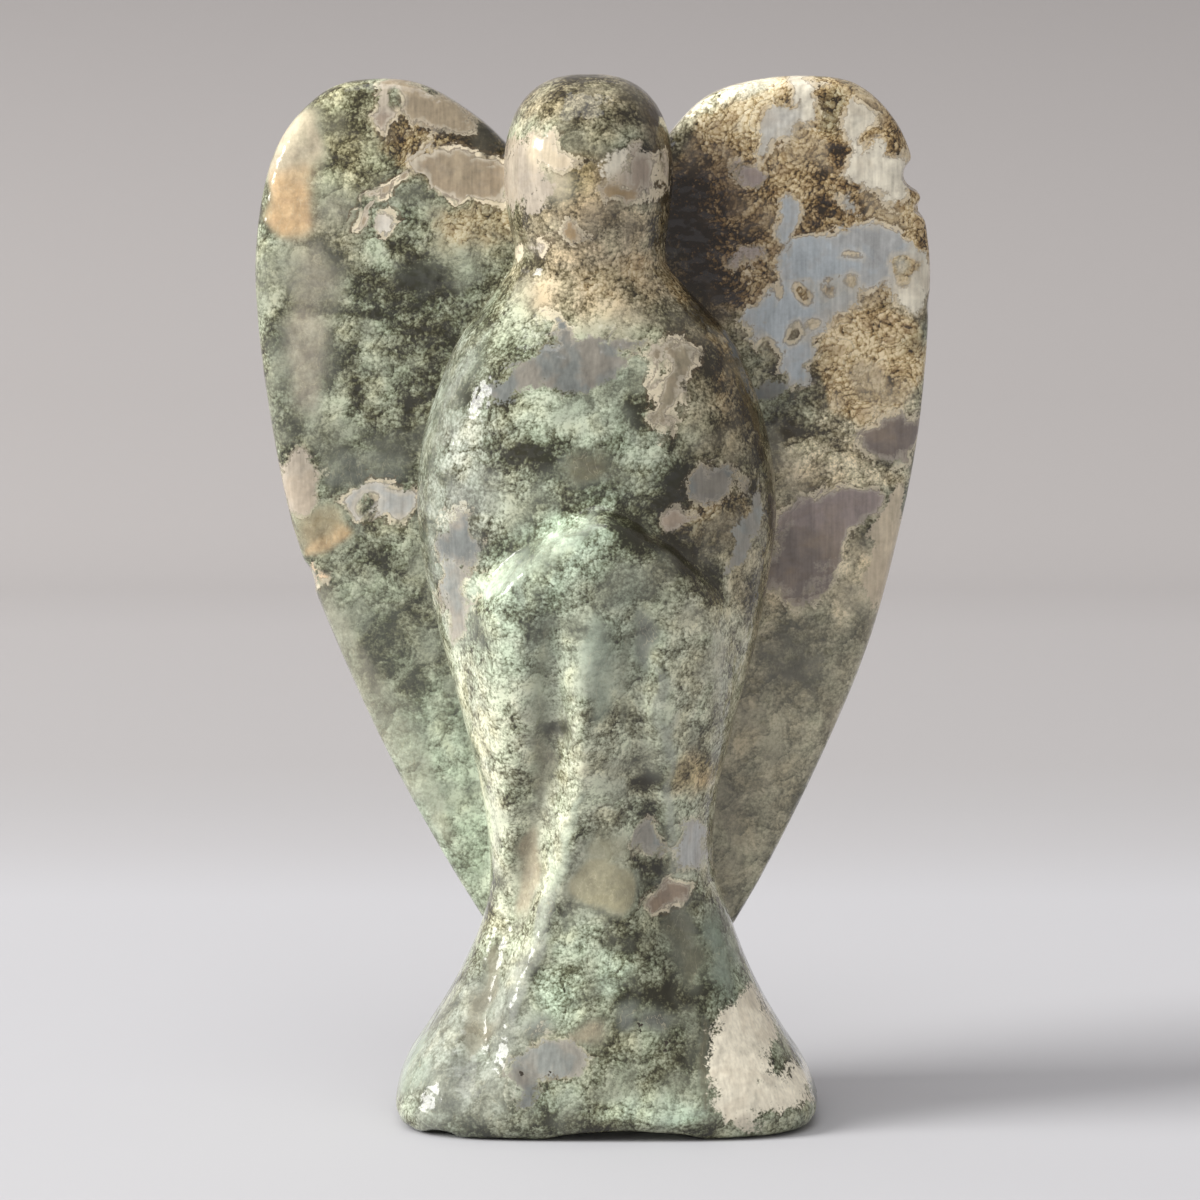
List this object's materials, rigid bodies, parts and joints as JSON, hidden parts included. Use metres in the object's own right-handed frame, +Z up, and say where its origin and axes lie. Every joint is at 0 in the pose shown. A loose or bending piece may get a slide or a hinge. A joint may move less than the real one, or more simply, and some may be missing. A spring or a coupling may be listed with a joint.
{
  "type": "moss agate angel carving",
  "caption": "Polished moss agate carving of a faceless standing angel with folded wings, which stands on its hem as a display piece.",
  "frame": {"origin": "under the middle of the carving, on the surface that it stands on", "axes": "+Z up, from the hem to the head; +Y towards the carving's back, so it looks along -Y; +X to the right for someone who looks at its front"},
  "size_m": [0.0644, 0.0264, 0.0987],
  "materials": {
    "moss_agate": "polished"
  },
  "bodies": {
    "root": {"angel_carving": "moss_agate"}
  },
  "joints": []
}
